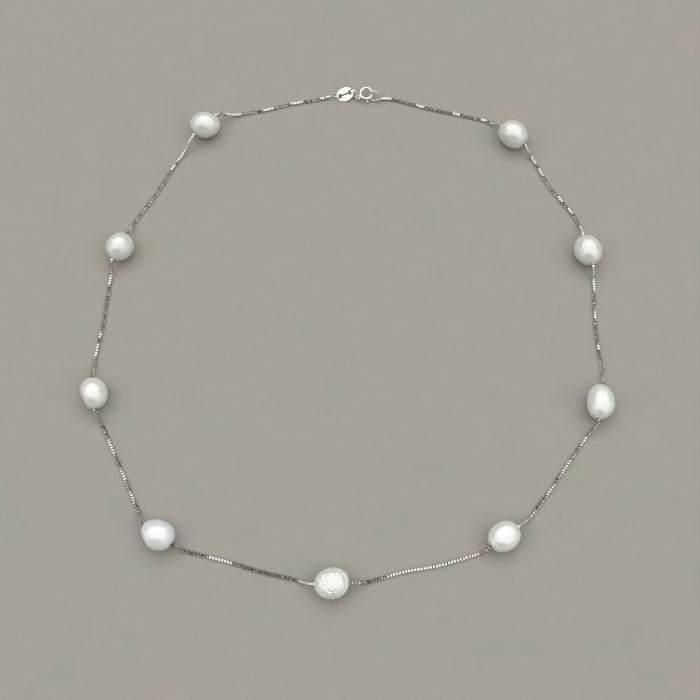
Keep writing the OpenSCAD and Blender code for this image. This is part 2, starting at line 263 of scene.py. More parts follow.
# The rows follow the chain, from the tag round the left side to the clasp.
# at: the pearl's middle in mm; hole, body: headings of the hole and of the long axis;
# size: length, width and height in mm; full: 1 is an egg, less is a barrel.
# lumps: heading, elevation, amount in mm, spread in degrees; below zero is a flat.
# face: a coin-like face, with the heading and elevation of its middle and the degrees from there to
# its edge; the groove round it is deepest at one heading, and its folds are strongest at another;
# wrinkle and groove are in mm.
# rings: faint ridges round one end, from that share of the half length on; spacing and deep in mm.
pearlRows = [
    {"at": (-42.4, 59.9), "hole": 229, "body": 0, "size": (8.7, 7.7, 7.5), "full": 1.0,
     "nacre": "lustrous", "lumps": [(0, 10, 0.25, 30), (215, -10, -0.25, 35)]},
    {"at": (-63.6, 19.9), "hole": 246, "body": 66, "size": (8.2, 7.6, 7.5), "full": 1.0,
     "nacre": "lustrous", "lumps": [(140, 10, -0.20, 35)]},
    {"at": (-66.6, -23.2), "hole": 281, "body": 101, "size": (8.6, 7.5, 7.4), "full": 1.0,
     "nacre": "milky", "lumps": [(215, 5, -0.60, 38), (20, 0, -0.10, 30)]},
    {"at": (-47.3, -60.2), "hole": 327, "body": 340, "size": (8.5, 7.5, 7.2), "full": 0.95,
     "nacre": "bluish", "lumps": [(200, 0, -0.70, 26), (140, 5, 0.25, 30), (25, 10, 0.20, 35)]},
    {"at": (-4.4, -71.8), "hole": 2, "body": 15, "size": (8.7, 7.5, 6.8), "full": 0.92,
     "nacre": "milky", "lumps": [(90, 80, -0.45, 42), (300, 0, 0.15, 30)],
     "face": {"at": (250, 76), "spread": 58, "wrinkle": 0.13, "groove": 0.20,
              "deepest": 310, "wrinkled": 215}},
    {"at": (37.9, -60.5), "hole": 35, "body": 35, "size": (8.5, 7.3, 6.8), "full": 0.92,
     "nacre": "milky", "lumps": [(90, 80, -0.40, 42)],
     "face": {"at": (60, 85), "spread": 54, "wrinkle": 0.0, "groove": 0.11, "deepest": 262}},
    {"at": (64.9, -25.7), "hole": 78, "body": 85, "size": (9.4, 7.2, 7.1), "full": 0.85,
     "nacre": "milky", "lumps": [(290, 0, -0.30, 25), (100, 0, 0.15, 35)],
     "rings": {"from": 0.15, "spacing": 0.7, "deep": 0.045}},
    {"at": (65.6, 18.8), "hole": 101, "body": 103, "size": (8.9, 7.6, 7.5), "full": 1.0,
     "nacre": "lustrous", "lumps": [(300, 0, 0.15, 40), (60, 0, -0.20, 35)]},
    {"at": (47.2, 56.5), "hole": 132, "body": 140, "size": (8.8, 8.0, 7.7), "full": 0.95,
     "nacre": "lustrous", "lumps": [(225, 0, -0.70, 40), (10, 0, 0.15, 35)]},
]

pearlFacts = {
    "segments": 96, "rings": 64, "drillSides": 32,
    "fineSegments": 176, "fineRings": 120,     # for the two with a coin-like face
    "bore": 1.2, "drillLong": 16,              # mm
    "smoothTo": 40,                            # degrees
    "solidSides": 16, "solidSteps": 14,        # facets of the pearl's solid in the frame
    "underneath": 0.2,                         # share of the relief left where the pearl rests
    "waveSize": 3.6, "wave": 0.075,            # low waves all over: size and height, mm
    "waveShift": 7.3,                          # so that each pearl has its own waves
    "faceEdge": 2.5,                           # degrees in which the coin-like face begins
    "grooveOut": 3, "grooveWide": 4,           # degrees past the face's edge, and half its width
    "grooveLeast": 0.25, "grooveAside": 0.5,   # how deep it is across from its deepest, and aside
    "foldSize": 0.5, "foldMean": 0.6,          # mm; the folds' own mean height
    "foldNoise": (0.9, 2.1, 3, 0.6),           # roughness, scale step, octaves and offset
    "foldLeast": 0.45, "foldAside": 0.6, "foldSlope": 1.3,     # how the folds fade to one side
    "ringFade": 0.2,                           # share of the half length in which ridges begin
}


def lumpPush(direction, lumps):
    push = 0.0
    for lumpHeading, lumpElevation, amount, spread in lumps:
        angle = math.degrees(direction.angle(headingVector(lumpHeading, lumpElevation)))
        push += amount * math.exp(-(angle / spread) ** 2)
    return push


def pearlPoint(row, ball):
    length, width, height = row["size"]
    girth = math.hypot(ball.y, ball.z)
    swell = girth ** (row["full"] - 1) if girth > nothing else 1.0
    local = Vector((ball.x * length / 2, ball.y * swell * width / 2, ball.z * swell * height / 2))
    turned = Matrix.Rotation(math.radians(row["body"]), 3, "Z") @ local
    direction = turned.normalized()
    return turned + direction * lumpPush(direction, row["lumps"])


def boreHeight(row):
    # how far the pearl's solid reaches below its middle, so that it rests on the surface
    sides, steps = pearlFacts["solidSides"], pearlFacts["solidSteps"]
    lowest = 0.0
    for step in range(1, steps):
        for side in range(sides):
            along, around = math.pi * step / steps, 2 * math.pi * side / sides
            ball = Vector((-math.cos(along), math.sin(along) * math.cos(around),
                           math.sin(along) * math.sin(around)))
            lowest = min(lowest, pearlPoint(row, ball).z)
    return -lowest


def boreReach(row):
    # from the pearl's middle to where the hole comes out
    length, width = row["size"][:2]
    turn = math.radians(row["hole"] - row["body"])
    return 1 / math.hypot(math.cos(turn) * 2 / length, math.sin(turn) * 2 / width)


for row in pearlRows:
    row["lift"] = boreHeight(row)


def pearlRelief(index, row, ball):
    # growth marks, in mm outwards, on top of the pearl's main form
    facts = pearlFacts
    turned = Matrix.Rotation(math.radians(row["body"]), 3, "Z") @ ball
    place = turned * row["size"][1] / 2
    calm = limited(1 + facts["underneath"] + turned.z)
    shift = Vector((facts["waveShift"] * index, 0, 0))
    out = facts["wave"] * calm * noise.noise(place / facts["waveSize"] + shift)
    if "face" in row:
        face = row["face"]
        angle = math.degrees(turned.angle(headingVector(*face["at"])))
        inside = 1 / (1 + math.exp((angle - face["spread"]) / facts["faceEdge"]))
        deep = limited(facts["grooveAside"] + turned.dot(headingVector(face["deepest"])))
        depth = face["groove"] * (facts["grooveLeast"] + (1 - facts["grooveLeast"]) * deep)
        past = angle - face["spread"] - facts["grooveOut"]
        out -= depth * math.exp(-(past / facts["grooveWide"]) ** 2)
        if face["wrinkle"]:
            folds = noise.hetero_terrain(place / facts["foldSize"], *facts["foldNoise"])
            side = turned.dot(headingVector(face["wrinkled"]))
            strong = limited(facts["foldAside"] + facts["foldSlope"] * side)
            share = facts["foldLeast"] + (1 - facts["foldLeast"]) * strong
            out += face["wrinkle"] * share * inside * calm * (folds - facts["foldMean"])
    if "rings" in row:
        ridge = row["rings"]
        along = ball.x * row["size"][0] / 2
        fade = limited((ball.x - ridge["from"]) / facts["ringFade"])
        out += ridge["deep"] * fade * calm * math.sin(2 * math.pi * along / ridge["spacing"])
    return turned.normalized() * out


def makePearl(index, row):
    facts = pearlFacts
    fine = "face" in row
    place = [part * mm for part in (*row["at"], row["lift"])]
    bpy.ops.object.select_all(action="DESELECT")
    bpy.ops.mesh.primitive_uv_sphere_add(segments=facts["fineSegments" if fine else "segments"],
                                         ring_count=facts["fineRings" if fine else "rings"],
                                         radius=1.0, rotation=(0, math.radians(90), 0))
    pearl = bpy.context.object
    pearl.name = f"pearlBead{index + 1}"
    applyPlace(pearl)
    for vertex in pearl.data.vertices:
        ball = vertex.co.normalized()
        vertex.co = (pearlPoint(row, ball) + pearlRelief(index, row, ball)) * mm
    pearl.location = place
    applyPlace(pearl)
    # the drill goes straight through along the hole's heading
    bpy.ops.mesh.primitive_cylinder_add(vertices=facts["drillSides"], radius=facts["bore"] / 2 * mm,
                                        depth=facts["drillLong"] * mm, location=place,
                                        rotation=(0, math.radians(90), math.radians(row["hole"])))
    cutAway(pearl, bpy.context.object)
    selectOnly(pearl)
    bpy.ops.object.shade_smooth_by_angle(angle=math.radians(facts["smoothTo"]))
    pearl.data.materials.clear()
    pearl.data.materials.append(nacres[row["nacre"]])
    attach(pearl, mainBody)
    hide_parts(f"pearl_{index + 1}")


for index, row in enumerate(pearlRows):
    makePearl(index, row)
print("pearls ready")


# The box chain: one pair of links, modelled once, repeated and laid along the chain's route

chainFacts = {
    "start": (-7.46, 71.76, 0.53),             # mm, at the tubes soldered on the chain's two ends
    "finish": (10.59, 71.56, 0.55),
    "width": 0.80,             # across each link, mm
    "length": 0.61,            # of a link along the chain
    "band": 0.54,              # width of the strip that a link is bent from
    "strip": 0.12,             # its thickness
    "bend": 0.16,              # outer radius of its corners
    "bendSteps": 2,
    "pitch": 0.385,            # from one link to the next
    "mouthGap": 0.2,           # outside a pearl before the chain turns down
    "easeAtPearl": 0.6,        # the bend beside a pearl is tighter than the others
    "stepsPerPiece": 20,       # points of the route from one knot to the next
    "lightFrom": 270,          # heading and elevation in degrees that the flat side is turned to
    "lightHigh": 72,
    "pastPatch": 60,           # how much further it turns where it would mirror the dark patch
    "edgeUp": 40,              # turn in degrees where an edge of the chain is up
    "looseFlat": 4,            # play of single links in degrees where the flat side is up
    "looseEdge": 21,           # and where an edge is up
    "playWaves": [(0.6, 2.4, 0), (0.4, 5.3, 1)],       # share, speed and start of each wave of it
    "turnOver": 0.04,          # share of a stretch in which the chain turns over
}

# Points of the chain where it lies on the surface, in mm, one row for each stretch.
chainRuns = [
    [(-11, 71), (-18, 69.5), (-25, 67.5), (-32, 66)],
    [(-49.5, 50.5), (-52, 45.8), (-55.5, 38.5), (-61, 29)],
    [(-66, 12), (-66.5, 4), (-67, -4), (-68, -13)],
    [(-64.2, -31), (-60.5, -38.5), (-57, -45.5), (-53.6, -52.5)],
    [(-40, -63.7), (-30.5, -66), (-22.2, -68.5), (-13, -70.6)],
    [(4.5, -71), (13.5, -68.5), (22, -67), (31.5, -64.2)],
    [(45.5, -54.5), (51.5, -47), (55.5, -41.5), (61, -34.2)],
    [(67, -16), (66.5, -8), (66.5, 1), (67.1, 10.5)],
    [(64.3, 29.6), (60.3, 36.3), (57, 41.5), (53.2, 50)],
    [(41, 63.2), (31.5, 66), (23.5, 68), (14, 71)],
]

# Where the chain's flat side is turned to the light, as shares of the length of each stretch.
flatSpans = [
    [(0.00, 0.03), (0.21, 0.29), (0.47, 0.55), (0.76, 0.88), (0.98, 1.00)],
    [(0.00, 0.24), (0.29, 0.31)],
    [(0.00, 0.20), (0.60, 0.62), (0.70, 0.77)],
    [(0.08, 0.11), (0.27, 0.37), (0.52, 0.59), (0.70, 0.75)],
    [(0.27, 0.42), (0.88, 1.00)],
    [(0.28, 0.95)],
    [(0.00, 0.16), (0.36, 0.41), (0.54, 0.64), (0.80, 0.85)],
    [(0.34, 0.36), (0.58, 0.61), (0.80, 0.99)],
    [(0.00, 0.12), (0.29, 0.31), (0.42, 0.44), (0.69, 0.74), (0.81, 0.86), (0.94, 0.98)],
    [(0.19, 0.21), (0.40, 0.44), (0.69, 0.74), (0.97, 1.00)],
]


def mouth(row, side):
    # where the chain comes out of a pearl and turns down
    reach = side * (boreReach(row) + chainFacts["mouthGap"])
    flat = headingVector(row["hole"]) * reach
    return Vector((row["at"][0] + flat.x, row["at"][1] + flat.y, row["lift"]))


def chainKnots():
    # the route's points, each with a mark that says whether a pearl follows
    knots = [(Vector(chainFacts["start"]), False)]
    for index, run in enumerate(chainRuns):
        knots += [(Vector((x, y, chainFacts["width"] / 2)), False) for x, y in run]
        if index < len(pearlRows):
            knots += [(mouth(pearlRows[index], -1), True), (mouth(pearlRows[index], 1), False)]
    return knots + [(Vector(chainFacts["finish"]), False)]


def chainRoute():
    knots = chainKnots()
    last = len(knots) - 1

    def flow(k, span):
        # the route's heading and pace at a knot
        before = k if knots[k][1] else k - 1
        after = k if k > 0 and knots[k - 1][1] else k + 1
        before, after = max(before, 0), min(after, last)
        along = (knots[after][0] - knots[before][0]) / (after - before)
        along.z = 0
        ease = chainFacts["easeAtPearl"] if knots[k][1] or knots[k - 1][1] else 1
        return along * ease * min(1, span / along.length)

    runs, run = [], []
    for k in range(last):
        a, b = knots[k][0], knots[k + 1][0]
        span = (b - a).length
        flowA, flowB = flow(k, span), flow(k + 1, span)
        if knots[k][1]:
            runs.append(run)
            run = []
            continue           # straight through a pearl
        for step in range(chainFacts["stepsPerPiece"]):
            # a cubic from a to b that leaves and arrives along the two flows
            t = step / chainFacts["stepsPerPiece"]
            run.append((2 * t ** 3 - 3 * t ** 2 + 1) * a + (t ** 3 - 2 * t ** 2 + t) * flowA
                       + (3 * t ** 2 - 2 * t ** 3) * b + (t ** 3 - t ** 2) * flowB)
        if k + 1 == last or knots[k + 1][1]:
            run.append(b)
    return runs + [run]


def leanToLight(ahead):
    # turn about the chain's line that brings its flat side round to the front light, and past it
    # where the chain runs down to the front, since it would mirror the dark patch there
    up = (Vector((0, 0, 1)) - ahead * ahead.z).normalized()
    light = headingVector(chainFacts["lightFrom"], chainFacts["lightHigh"])
    past = chainFacts["pastPatch"] * ahead.z * ahead.y ** 4 if ahead.y < 0 and ahead.z < 0 else 0
    return math.degrees(math.atan2(light.dot(ahead.cross(up)), light.dot(up))) + past


def chainTurns(runs):
    # how far the chain is turned about its own line, in degrees, at every point of the route
    facts, turns, count = chainFacts, [], 0
    for run, spans in zip(runs, flatSpans):
        steps = [(b - a).length for a, b in zip(run[:-1], run[1:])]
        for place in range(len(run)):
            share = sum(steps[:place]) / sum(steps)
            away = min(max(a - share, share - b, 0) for a, b in spans)
            over = min(1, away / facts["turnOver"])
            loose = facts["looseFlat"] + (facts["looseEdge"] - facts["looseFlat"]) * over
            play = sum(part * math.sin(speed * count + start)
                       for part, speed, start in facts["playWaves"])
            ahead = (run[min(place + 1, len(run) - 1)] - run[max(place - 1, 0)]).normalized()
            turns.append(leanToLight(ahead) * (1 - over) + facts["edgeUp"] * over + loose * play)
            count += 1
    return turns


def makeLinkPair():
    # a link is a box with rounded corners, hollow from top to bottom, and the next one is turned
    # a quarter round the chain
    facts = chainFacts
    bpy.ops.object.select_all(action="DESELECT")
    pair = []
    for turn in (0, 90):
        bpy.ops.mesh.primitive_cube_add(size=1)
        link = bpy.context.object
        link.scale = (facts["length"] * mm, facts["width"] * mm, facts["band"] * mm)
        applyPlace(link)
        heights = [vertex.co.z for vertex in link.data.vertices]
        editParts(link, "EDGE",
                  lambda edge: heights[edge.vertices[0]] * heights[edge.vertices[1]] < 0)
        bpy.ops.mesh.bevel(offset=facts["bend"] * mm, segments=facts["bendSteps"])
        editParts(link, "FACE", lambda face: abs(face.normal.z) > squareOn)
        bpy.ops.mesh.inset(thickness=facts["strip"] * mm)
        bpy.ops.mesh.bridge_edge_loops()
        leaveFacingOut()
        for kind in ("chain", "dark", "edge"):
            link.data.materials.append(silvers[kind])
        for face in link.data.polygons:
            # the cut edges take the darker silver as painted shade
            if abs(face.normal.z) > squareOn:
                face.material_index = 2        # the strip's cut edges
            # the inner sides take the near-black silver as painted shade
            elif face.normal.dot(Vector((face.center.x, face.center.y, 0))) < -nothing:
                face.material_index = 1        # its inner side
        link.rotation_euler = (math.radians(turn), 0, 0)
        link.location.x = (facts["pitch"] / 2 + (facts["pitch"] if turn else 0)) * mm
        applyPlace(link)
        pair.append(link)
    return joinPieces(pair)


def makeChain():
    runs = chainRoute()
    turns = chainTurns(runs)
    route = [place for run in runs for place in run]
    total = sum((b - a).length for a, b in zip(route[:-1], route[1:]))
    pairs = int(total / (2 * chainFacts["pitch"]))
    curve = bpy.data.curves.new("chainPath", "CURVE")
    curve.dimensions = "3D"
    curve.twist_mode = "Z_UP"
    spline = curve.splines.new("POLY")
    spline.points.add(len(route) - 1)
    for point, place, turn in zip(spline.points, route, turns):
        point.co = (*(place * mm), 1)
        point.tilt = math.radians(turn)
    path = bpy.data.objects.new("chainPath", curve)
    bpy.context.scene.collection.objects.link(path)
    chain = makeLinkPair()
    chain.name = "boxChainLinks"
    repeat = chain.modifiers.new("repeat", "ARRAY")
    repeat.count = pairs
    repeat.use_relative_offset = False
    repeat.use_constant_offset = True
    repeat.constant_offset_displace = (total / pairs * mm, 0, 0)
    follow = chain.modifiers.new("followRoute", "CURVE")
    follow.object = path
    follow.deform_axis = "POS_X"
    applyModifiers(chain)
    bpy.data.objects.remove(path)
    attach(chain, mainBody)
    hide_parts("box_chain")
    print("chain", round(total, 1), "mm,", 2 * pairs, "links,", len(chain.data.polygons), "faces")


makeChain()


# Clasp, rings and tag: the wire parts are swept rings, soldered and tumbled bright

# Lengths in mm, turns in degrees anticlockwise round the spring ring, seen from above.
claspFacts = {
    "at": (4.8, 72.6, 1.75), "tip": 13,        # the spring ring lies tipped to the front
    "ring": 1.71, "tube": 0.78, "wall": 0.11, "tubeSides": 24, "tubeSteps": 80,
    "gate": (-30, 10),
    "travel": (-125, -83), "slotPast": 5, "slotHalf": 30,      # the slot runs a little past the travel
    "eyelet": {"turn": 205, "out": 2.70, "d": 1.2, "wire": 0.34, "seam": 25},
    "bolt": {"d": 0.46, "arc": (-95, 13), "steps": 32},
    "knob": {"turn": -83, "out": 2.71, "d": 0.62, "sides": 32, "rings": 20,
             "neck": 0.24, "neckFrom": 0.97},  # what is lower in the ball than this share is neck
}

ringFacts = {
    "steps": 72, "sides": 20,
    "proud": 0.05, "proudTurn": 9,             # the solder on a seam: share of the wire, degrees
    "dip": 0.03, "dipAt": 16, "dipTurn": 6,    # the filed wire on both sides of it
}

# seam: where the wire's ends are soldered, in degrees round the ring
ringRows = {
    "catch_ring": {"piece": "catchRingWire", "at": (7.121, 71.777, 1.560),
                   "axis": (-0.250, -0.823, 0.510), "d": 2.9, "wire": 0.5, "seam": 150},
    "clasp_jump_ring": {"piece": "claspJumpRingWire", "at": (1.138, 72.383, 1.817),
                        "axis": (-0.623, -0.778, 0.082), "d": 3.0, "wire": 0.4, "seam": 200},
    "small_jump_ring": {"piece": "smallJumpRingWire", "at": (-4.129, 72.693, 0.715),
                        "axis": (0.246, 0.331, 0.911), "d": 2.0, "wire": 0.28, "seam": 80},
}


def dressPiece(piece, name, node, body, smoothTo=35):
    piece.name = name
    piece.data.name = name
    selectOnly(piece)
    bpy.ops.object.shade_smooth_by_angle(angle=math.radians(smoothTo))
    if not piece.data.materials:
        piece.data.materials.append(silvers["clasp"])
    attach(piece, body)
    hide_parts(node)


def wireRing(at, axis, d, wire, seam):
    facts = ringFacts
    bpy.ops.mesh.primitive_torus_add(major_segments=facts["steps"], minor_segments=facts["sides"],
                                     major_radius=d / 2 * mm, minor_radius=wire / 2 * mm)
    ring = bpy.context.object
    # the solder stands a little proud where the wire's ends meet
    for vertex in ring.data.vertices:
        co = vertex.co
        turn = math.degrees(math.atan2(co.y, co.x)) - seam
        turn = (turn + 180) % 360 - 180
        swell = (1 + facts["proud"] * math.exp(-(turn / facts["proudTurn"]) ** 2)
                 - facts["dip"] * math.exp(-((abs(turn) - facts["dipAt"]) / facts["dipTurn"]) ** 2))
        core = Vector((co.x, co.y, 0)).normalized() * (d / 2 * mm)
        vertex.co = core + (co - core) * swell
    ring.location = Vector(at) * mm
    ring.rotation_euler = aimed(axis)
    applyPlace(ring)
    return ring


def sweptTube(radius, d, arc, steps):
    # a round section spun round the clasp's own centre, in its own plane
    bpy.ops.mesh.primitive_circle_add(vertices=claspFacts["tubeSides"], radius=d / 2 * mm,
                                      location=(radius * mm, 0, 0),
                                      rotation=(math.radians(90), 0, 0), fill_type="NOTHING")
    tube = bpy.context.object
    applyPlace(tube)
    tube.data.transform(Matrix.Rotation(math.radians(arc[0]), 4, "Z"))
    bpy.ops.object.mode_set(mode="EDIT")
    bpy.ops.mesh.select_all(action="SELECT")
    # a positive spin turns clockwise, and the arcs are counted anticlockwise
    bpy.ops.mesh.spin(steps=steps, angle=-math.radians(arc[1] - arc[0]), center=(0, 0, 0),
                      axis=(0, 0, 1))
    leaveFacingOut()
    return tube


def layOnClasp(piece):
    piece.location = Vector(claspFacts["at"]) * mm
    piece.rotation_euler = (math.radians(claspFacts["tip"]), 0, 0)
    applyPlace(piece)


def makeSpringRing():
    facts, eyelet = claspFacts, claspFacts["eyelet"]
    tube = sweptTube(facts["ring"], facts["tube"], (facts["gate"][1], 360 + facts["gate"][0]),
                     facts["tubeSteps"])
    slotFrom, slotTo = facts["travel"][0] - facts["slotPast"], facts["travel"][1] + facts["slotPast"]

    def inSlot(face):
        turn = math.degrees(math.atan2(face.center.y, face.center.x))
        out = math.hypot(face.center.x, face.center.y) - facts["ring"] * mm
        lift = math.degrees(math.atan2(abs(face.center.z), out))
        return slotFrom < turn < slotTo and lift < facts["slotHalf"]

    # the slot for the knob's neck is left open in the outer side
    editParts(tube, "FACE", inSlot)
    bpy.ops.mesh.delete(type="FACE")
    bpy.ops.object.mode_set(mode="OBJECT")
    wall = tube.modifiers.new("tubeWall", "SOLIDIFY")
    wall.thickness = facts["wall"] * mm
    wall.offset = -1
    applyModifiers(tube)
    spot = headingVector(eyelet["turn"]) * eyelet["out"]
    loop = wireRing(spot, (0, 0, 1), eyelet["d"], eyelet["wire"], eyelet["seam"])
    ring = joinPieces([tube, loop])
    layOnClasp(ring)
    dressPiece(ring, "springRingTube", "spring_ring", mainBody)


def makeTrigger():
    facts, bolt, knob = claspFacts, claspFacts["bolt"], claspFacts["knob"]
    rod = sweptTube(facts["ring"], bolt["d"], bolt["arc"], bolt["steps"])
    bpy.ops.object.mode_set(mode="EDIT")
    bpy.ops.mesh.select_all(action="DESELECT")
    bpy.ops.mesh.select_mode(type="EDGE")
    bpy.ops.mesh.select_non_manifold()
    bpy.ops.mesh.fill()
    leaveFacingOut()
    # the knob is a ball, and its lowest part is drawn out to the bolt as the neck
    out, ball, neck = knob["out"] - facts["ring"], knob["d"] / 2, knob["neck"] / 2
    bpy.ops.mesh.primitive_uv_sphere_add(segments=knob["sides"], ring_count=knob["rings"],
                                         radius=ball * mm)
    head = bpy.context.object
    for vertex in head.data.vertices:
        if vertex.co.z < -knob["neckFrom"] * ball * mm:
            flat = Vector((vertex.co.x, vertex.co.y, 0))
            around = flat.normalized() * neck * mm if flat.length > nothing else flat
            vertex.co = around + Vector((0, 0, -out * mm))
    head.location = headingVector(knob["turn"]) * knob["out"] * mm
    head.rotation_euler = aimed(headingVector(knob["turn"]))
    applyPlace(head)
    trigger = joinPieces([rod, head])
    layOnClasp(trigger)
    dressPiece(trigger, "claspTrigger", "clasp_trigger", "trigger")


# The tag is an oval plate with two holes and a groove between them. A narrow gap is cut from each
# hole out through the rim. Lengths in mm, turns in degrees.
tagFacts = {
    "at": (-1.5, 72.8, 0.92), "turn": 16, "roll": -14, "pitch": 12.5,
    "long": 5.2, "wide": 4.2, "thick": 0.26, "endRadius": 1.65, "rimSides": 128,
    "hole": {"out": 1.55, "wide": 1.0, "long": 1.6, "sides": 48},
    "gap": 0.26, "gapTurn": 28, "gapLong": 2.6,
    "grooveDeep": 0.18, "grooveWide": 0.50,
    "cutterHigh": 1.2, "softRim": 0.03, "softSteps": 2,
}


def tagReach(direction):
    # distance from the tag's middle to its rim: end arcs near the ends, side arcs between them
    end, half = tagFacts["endRadius"], tagFacts["wide"] / 2
    endX = tagFacts["long"] / 2 - end
    sideRadius = (endX ** 2 + half ** 2 - end ** 2) / (tagFacts["wide"] - 2 * end)
    joinX = endX * sideRadius / (sideRadius - end)
    x, y = abs(direction.x), abs(direction.y)
    drop = sideRadius - half
    side = -drop * y + math.sqrt((drop * y) ** 2 + sideRadius ** 2 - drop ** 2)
    if side * x <= joinX:
        return side
    return endX * x + math.sqrt((endX * x) ** 2 + end ** 2 - endX ** 2)


def makeTagCutters():
    facts, hole = tagFacts, tagFacts["hole"]
    cutters = []
    for side in (0, 180):
        turn = math.radians(side)
        bpy.ops.mesh.primitive_cylinder_add(vertices=hole["sides"], radius=hole["wide"] / 2 * mm,
                                            depth=facts["cutterHigh"] * mm)
        slot = bpy.context.object
        straight = (hole["long"] - hole["wide"]) / 2 * mm
        for vertex in slot.data.vertices:
            vertex.co.y += math.copysign(straight, vertex.co.y) if abs(vertex.co.y) > nothing else 0
        slot.location = (math.cos(turn) * hole["out"] * mm, math.sin(turn) * hole["out"] * mm, 0)
        slot.rotation_euler = (0, 0, turn)
        start = Vector((hole["out"], straight / mm, 0))
        middle = start + headingVector(facts["gapTurn"]) * facts["gapLong"] / 2
        middle.rotate(Euler((0, 0, turn)))
        bpy.ops.mesh.primitive_cube_add(size=1, location=middle * mm,
                                        rotation=(0, 0, math.radians(facts["gapTurn"]) + turn))
        gap = bpy.context.object
        gap.scale = (facts["gapLong"] * mm, facts["gap"] * mm, facts["cutterHigh"] * mm)
        cutters += [slot, gap]
    bpy.ops.mesh.primitive_cube_add(size=1,
                                    location=(0, 0, (facts["thick"] - facts["grooveDeep"]) * mm))
    groove = bpy.context.object
    groove.scale = (2 * hole["out"] * mm, facts["grooveWide"] * mm, facts["thick"] * mm)
    for cutter in cutters + [groove]:
        applyPlace(cutter)
        # the groove's faces take the near-black silver: painted shade inside the groove
        cutter.data.materials.append(silvers["dark" if cutter is groove else "clasp"])
    return cutters + [groove]


def makeTag():
    facts = tagFacts
    bpy.ops.mesh.primitive_circle_add(vertices=facts["rimSides"], radius=1.0, fill_type="NGON",
                                      location=(0, 0, -facts["thick"] / 2 * mm))
    tag = bpy.context.object
    for vertex in tag.data.vertices:
        direction = Vector((vertex.co.x, vertex.co.y, 0)).normalized()
        vertex.co = direction * tagReach(direction) * mm
    applyPlace(tag)
    bpy.ops.object.mode_set(mode="EDIT")
    bpy.ops.mesh.select_all(action="SELECT")
    bpy.ops.mesh.extrude_region_move(TRANSFORM_OT_translate={"value": (0, 0, facts["thick"] * mm)})
    leaveFacingOut()
    tag.data.materials.append(silvers["clasp"])
    for cutter in makeTagCutters():
        cutAway(tag, cutter)
    softenEdges(tag, facts["softRim"], facts["softSteps"])
    tag.location = Vector(facts["at"]) * mm
    turn = Matrix.Rotation(math.radians(facts["turn"]), 3, "Z")
    roll = Matrix.Rotation(math.radians(facts["roll"]), 3, "Y")
    pitch = Matrix.Rotation(math.radians(facts["pitch"]), 3, "X")
    tag.rotation_euler = (turn @ roll @ pitch).to_euler()
    applyPlace(tag)
    dressPiece(tag, "ovalTagPlate", "oval_tag", mainBody, smoothTo=30)


# Chain ends: a wire loop, a neck and a short tube that holds the last link; lengths in mm
endFacts = {
    "loop": 1.04, "loopWire": 0.28, "seam": 0,
    "neck": 0.5, "neckLong": 0.6,
    "tube": 0.95, "tubeLong": 1.05, "tubeSides": 32,
    "softEdge": 0.07, "softSteps": 3,
}

endRows = {
    "chain_end_left": {"piece": "chainEndLeft", "at": (-5.246, 72.477, 0.996),
                       "axis": (-0.9326, -0.3030, -0.1961), "loopAxis": (-0.2486, 0.9332, -0.2596)},
    "chain_end_right": {"piece": "chainEndRight", "at": (8.318, 71.076, 1.016),
                        "axis": (0.9592, 0.2039, -0.1961), "loopAxis": (0.1413, 0.2553, 0.9565)},
}


def makeChainEnd(node, row):
    facts = endFacts
    loop = wireRing(row["at"], row["loopAxis"], facts["loop"], facts["loopWire"], facts["seam"])
    bpy.ops.mesh.primitive_cylinder_add(vertices=facts["tubeSides"], radius=facts["tube"] / 2 * mm,
                                        depth=facts["tubeLong"] * mm)
    tube = bpy.context.object
    for vertex in tube.data.vertices:
        vertex.co.z += (facts["loop"] / 2 + facts["neckLong"] + facts["tubeLong"] / 2) * mm
    # the side that faces the loop steps in to the neck, which runs up to the loop
    editParts(tube, "FACE", lambda face: face.normal.z < -squareOn)
    bpy.ops.mesh.inset(thickness=(facts["tube"] - facts["neck"]) / 2 * mm)
    bpy.ops.mesh.extrude_region_move(TRANSFORM_OT_translate={"value": (0, 0, -facts["neckLong"] * mm)})
    bpy.ops.object.mode_set(mode="OBJECT")
    softenEdges(tube, facts["softEdge"], facts["softSteps"])
    tube.location = Vector(row["at"]) * mm
    tube.rotation_euler = aimed(row["axis"])
    applyPlace(tube)
    dressPiece(joinPieces([tube, loop]), row["piece"], node, mainBody)


for node, row in ringRows.items():
    ring = wireRing(row["at"], row["axis"], row["d"], row["wire"], row["seam"])
    dressPiece(ring, row["piece"], node, mainBody)
makeSpringRing()
makeTrigger()
makeTag()
for node, row in endRows.items():
    makeChainEnd(node, row)
print("clasp ready")


# The surface below: a plain matt pale grey sheet with a faint mottle

sheetFacts = {
    "across": 12.0,            # m
    "rosy": "#9c9790", "mossy": "#98968a",
    "rosyAt": 0.62, "mossyAt": 0.38,           # places of the two tints in the mottle
    "patch": 9.0,              # size of the mottle's patches, mm
    "detail": 4.0, "grain": 0.65,
    "roughness": 0.9,
}


def mattSheet():
    facts = sheetFacts
    material, tree = startMaterial("MattPaleSheet")
    place = addNode(tree, "ShaderNodeTexCoord")
    patch = addNode(tree, "ShaderNodeTexNoise",
                    inputs={"Scale": perMillimetre(facts["patch"]), "Detail": facts["detail"],
                            "Roughness": facts["grain"]},
                    links={"Vector": place.outputs["Object"]})
    tint = addNode(tree, "ShaderNodeValToRGB", links={"Fac": patch.outputs["Fac"]})
    ramp = tint.color_ramp.elements
    ramp[0].position = facts["mossyAt"]
    ramp[0].color = hexColour(facts["mossy"])
    ramp[1].position = facts["rosyAt"]
    ramp[1].color = hexColour(facts["rosy"])
    shader = addNode(tree, "ShaderNodeBsdfPrincipled", inputs={"Roughness": facts["roughness"]},
                     links={"Base Color": tint.outputs["Color"]})
    finishMaterial(tree, shader)
    return material


def makeSheet():
    bpy.ops.object.select_all(action="DESELECT")
    bpy.ops.mesh.primitive_plane_add(size=sheetFacts["across"])
    floor = bpy.context.object
    floor.name = "paleSurface"
    floor.data.materials.append(mattSheet())


